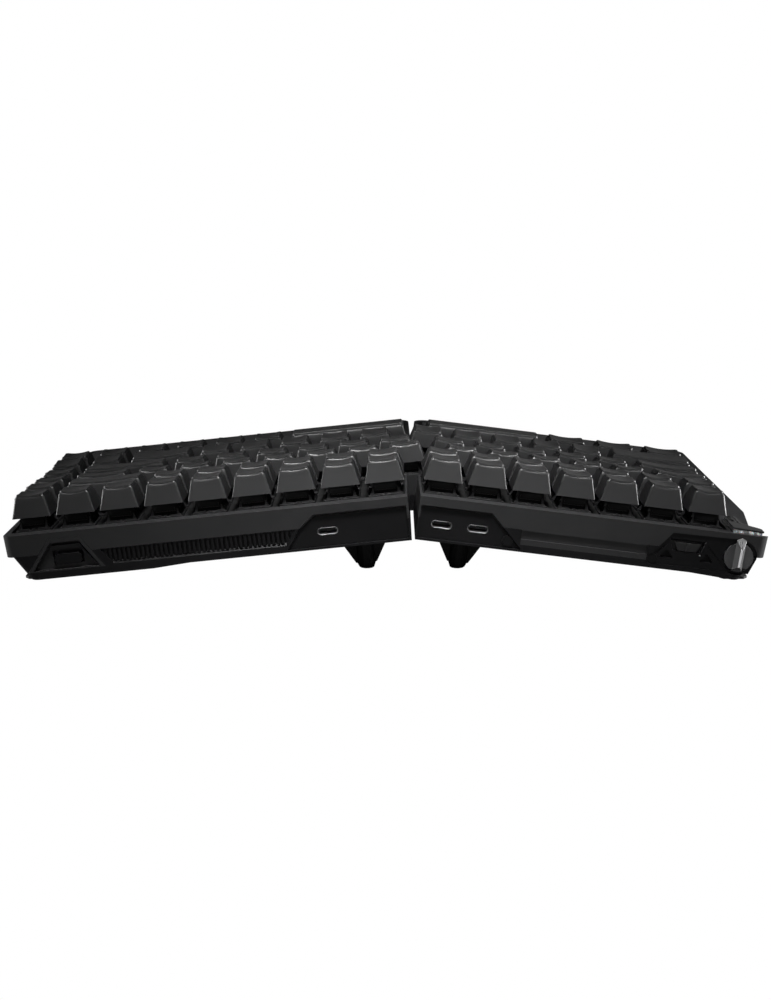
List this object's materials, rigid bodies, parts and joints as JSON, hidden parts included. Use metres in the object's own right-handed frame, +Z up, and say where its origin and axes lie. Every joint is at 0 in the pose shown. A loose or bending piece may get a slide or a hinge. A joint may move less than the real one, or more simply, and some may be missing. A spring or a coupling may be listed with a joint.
{
  "type": "split keyboard",
  "caption": "Tented two-part ergonomic keyboard in matte black plastic, with blank keycaps, wrist rests, a rear dial and a side scroll wheel.",
  "frame": {"origin": "centre of the bounding box seen from above, on the desk that the feet stand on", "axes": "+X along the key rows to the typist's right, +Y away from the typist to the ports, +Z up"},
  "size_m": [0.327, 0.2026, 0.0536],
  "materials": {
    "frame_plastic": "fine matte texture",
    "base_plastic": "fine matte texture",
    "key_plastic": "satin, slightly worn smooth on top",
    "panel_plastic": "satin",
    "housing_plastic": "satin moulded",
    "plate_metal": "matte black paint",
    "board_laminate": "solder mask",
    "port_steel": "plated, satin",
    "foot_plastic": "matte",
    "pad_rubber": "matte",
    "wheel_rubber": "matte, fluted",
    "axle_steel": "ground",
    "light_diffuser": "translucent, frosted",
    "dial_plastic": "satin",
    "cushion_skin": "soft skin, fine grain",
    "battery_wrap": "shrink wrap"
  },
  "bodies": {
    "left_half": {"left_top_frame": "frame_plastic", "left_bottom_case": "base_plastic", "left_switch_plate": "plate_metal", "left_circuit_board": "board_laminate", "left_switch_housings": "housing_plastic", "left_stabilizers": "housing_plastic", "left_port_panel": "panel_plastic", "left_tenting_feet": "foot_plastic", "left_base_pads": "pad_rubber", "left_usb_ports": "port_steel", "left_mode_plate": "panel_plastic", "left_status_light": "light_diffuser", "left_dial_encoder": "base_plastic", "left_wheel_axle": "axle_steel", "left_screw_caps": "pad_rubber", "left_battery": "battery_wrap", "left_wrist_rest": "frame_plastic", "left_rest_cushion": "cushion_skin"},
    "right_half": {"right_top_frame": "frame_plastic", "right_bottom_case": "base_plastic", "right_switch_plate": "plate_metal", "right_circuit_board": "board_laminate", "right_switch_housings": "housing_plastic", "right_stabilizers": "housing_plastic", "right_port_panel": "panel_plastic", "right_tenting_feet": "foot_plastic", "right_base_pads": "pad_rubber", "right_usb_port": "port_steel", "right_rear_grille": "panel_plastic", "right_receiver_bay": "frame_plastic", "right_wrist_rest": "frame_plastic", "right_rest_cushion": "cushion_skin"},
    "left_keys_row1_body": {"left_keys_row1": "key_plastic"},
    "left_keys_row2_body": {"left_keys_row2": "key_plastic"},
    "left_keys_row3_body": {"left_keys_row3": "key_plastic"},
    "left_keys_row4_body": {"left_keys_row4": "key_plastic"},
    "left_keys_row5_body": {"left_keys_row5": "key_plastic"},
    "left_keys_row6_body": {"left_keys_row6": "key_plastic"},
    "left_shift_key_body": {"left_shift_key": "key_plastic"},
    "left_space_key_body": {"left_space_key": "key_plastic"},
    "right_keys_row1_body": {"right_keys_row1": "key_plastic"},
    "right_keys_row2_body": {"right_keys_row2": "key_plastic"},
    "right_keys_row3_body": {"right_keys_row3": "key_plastic"},
    "right_keys_row4_body": {"right_keys_row4": "key_plastic"},
    "right_keys_row5_body": {"right_keys_row5": "key_plastic"},
    "right_keys_row6_body": {"right_keys_row6": "key_plastic"},
    "right_shift_key_body": {"right_shift_key": "key_plastic"},
    "right_space_key_body": {"right_space_key": "key_plastic"},
    "right_backspace_key_body": {"right_backspace_key": "key_plastic"},
    "right_enter_key_body": {"right_enter_key": "key_plastic"},
    "function_button_body": {"left_function_button": "key_plastic", "left_light_strip": "light_diffuser"},
    "mode_slider_body": {"left_mode_slider": "dial_plastic"},
    "rear_dial_body": {"left_rear_dial": "dial_plastic"},
    "scroll_wheel_body": {"left_scroll_wheel": "wheel_rubber"},
    "receiver_body": {"right_receiver": "panel_plastic"}
  },
  "joints": [
    {"name": "halves_apart", "type": "slide", "parent": "left_half", "child": "right_half", "axis": [1, 0, 0], "range_m": [0, 0.15]},
    {"name": "left_keys_row1_press", "type": "slide", "parent": "left_half", "child": "left_keys_row1_body", "axis": [0.1244, 0.061, -0.9903], "range_m": [0, 0.0035], "stiffness_N_per_m": 1000},
    {"name": "left_keys_row2_press", "type": "slide", "parent": "left_half", "child": "left_keys_row2_body", "axis": [0.1244, 0.061, -0.9903], "range_m": [0, 0.0035], "stiffness_N_per_m": 1000},
    {"name": "left_keys_row3_press", "type": "slide", "parent": "left_half", "child": "left_keys_row3_body", "axis": [0.1244, 0.061, -0.9903], "range_m": [0, 0.0035], "stiffness_N_per_m": 1000},
    {"name": "left_keys_row4_press", "type": "slide", "parent": "left_half", "child": "left_keys_row4_body", "axis": [0.1244, 0.061, -0.9903], "range_m": [0, 0.0035], "stiffness_N_per_m": 1000},
    {"name": "left_keys_row5_press", "type": "slide", "parent": "left_half", "child": "left_keys_row5_body", "axis": [0.1244, 0.061, -0.9903], "range_m": [0, 0.0035], "stiffness_N_per_m": 1000},
    {"name": "left_keys_row6_press", "type": "slide", "parent": "left_half", "child": "left_keys_row6_body", "axis": [0.1244, 0.061, -0.9903], "range_m": [0, 0.0035], "stiffness_N_per_m": 1000},
    {"name": "left_shift_key_press", "type": "slide", "parent": "left_half", "child": "left_shift_key_body", "axis": [0.1244, 0.061, -0.9903], "range_m": [0, 0.0035], "stiffness_N_per_m": 130},
    {"name": "left_space_key_press", "type": "slide", "parent": "left_half", "child": "left_space_key_body", "axis": [0.1244, 0.061, -0.9903], "range_m": [0, 0.0035], "stiffness_N_per_m": 130},
    {"name": "right_keys_row1_press", "type": "slide", "parent": "right_half", "child": "right_keys_row1_body", "axis": [-0.1045, 0.061, -0.9927], "range_m": [0, 0.0035], "stiffness_N_per_m": 1000},
    {"name": "right_keys_row2_press", "type": "slide", "parent": "right_half", "child": "right_keys_row2_body", "axis": [-0.1045, 0.061, -0.9927], "range_m": [0, 0.0035], "stiffness_N_per_m": 1000},
    {"name": "right_keys_row3_press", "type": "slide", "parent": "right_half", "child": "right_keys_row3_body", "axis": [-0.1045, 0.061, -0.9927], "range_m": [0, 0.0035], "stiffness_N_per_m": 1000},
    {"name": "right_keys_row4_press", "type": "slide", "parent": "right_half", "child": "right_keys_row4_body", "axis": [-0.1045, 0.061, -0.9927], "range_m": [0, 0.0035], "stiffness_N_per_m": 1000},
    {"name": "right_keys_row5_press", "type": "slide", "parent": "right_half", "child": "right_keys_row5_body", "axis": [-0.1045, 0.061, -0.9927], "range_m": [0, 0.0035], "stiffness_N_per_m": 1000},
    {"name": "right_keys_row6_press", "type": "slide", "parent": "right_half", "child": "right_keys_row6_body", "axis": [-0.1045, 0.061, -0.9927], "range_m": [0, 0.0035], "stiffness_N_per_m": 1000},
    {"name": "right_shift_key_press", "type": "slide", "parent": "right_half", "child": "right_shift_key_body", "axis": [-0.1045, 0.061, -0.9927], "range_m": [0, 0.0035], "stiffness_N_per_m": 130},
    {"name": "right_space_key_press", "type": "slide", "parent": "right_half", "child": "right_space_key_body", "axis": [-0.1045, 0.061, -0.9927], "range_m": [0, 0.0035], "stiffness_N_per_m": 130},
    {"name": "right_backspace_key_press", "type": "slide", "parent": "right_half", "child": "right_backspace_key_body", "axis": [-0.1045, 0.061, -0.9927], "range_m": [0, 0.0035], "stiffness_N_per_m": 130},
    {"name": "right_enter_key_press", "type": "slide", "parent": "right_half", "child": "right_enter_key_body", "axis": [-0.1045, 0.061, -0.9927], "range_m": [0, 0.0035], "stiffness_N_per_m": 130},
    {"name": "function_button_press", "type": "slide", "parent": "left_half", "child": "function_button_body", "axis": [0.1244, 0.061, -0.9903], "range_m": [0, 0.0007], "stiffness_N_per_m": 500},
    {"name": "mode_slide", "type": "slide", "parent": "left_half", "child": "mode_slider_body", "axis": [0.9922, 0, 0.1247], "range_m": [-0.0012, 0.0012]},
    {"name": "rear_dial_turn", "type": "hinge", "parent": "left_half", "child": "rear_dial_body", "pos_m": [-0.15079, 0.0979, 0.011], "axis": [0, 1, 0], "continuous": true},
    {"name": "scroll_wheel_turn", "type": "hinge", "parent": "left_half", "child": "scroll_wheel_body", "pos_m": [-0.15298, 0.07446, 0.0164], "axis": [-0.0076, 0.9981, 0.0606], "continuous": true},
    {"name": "receiver_pull", "type": "slide", "parent": "right_half", "child": "receiver_body", "axis": [0, 1, 0], "range_m": [0, 0.02]}
  ]
}
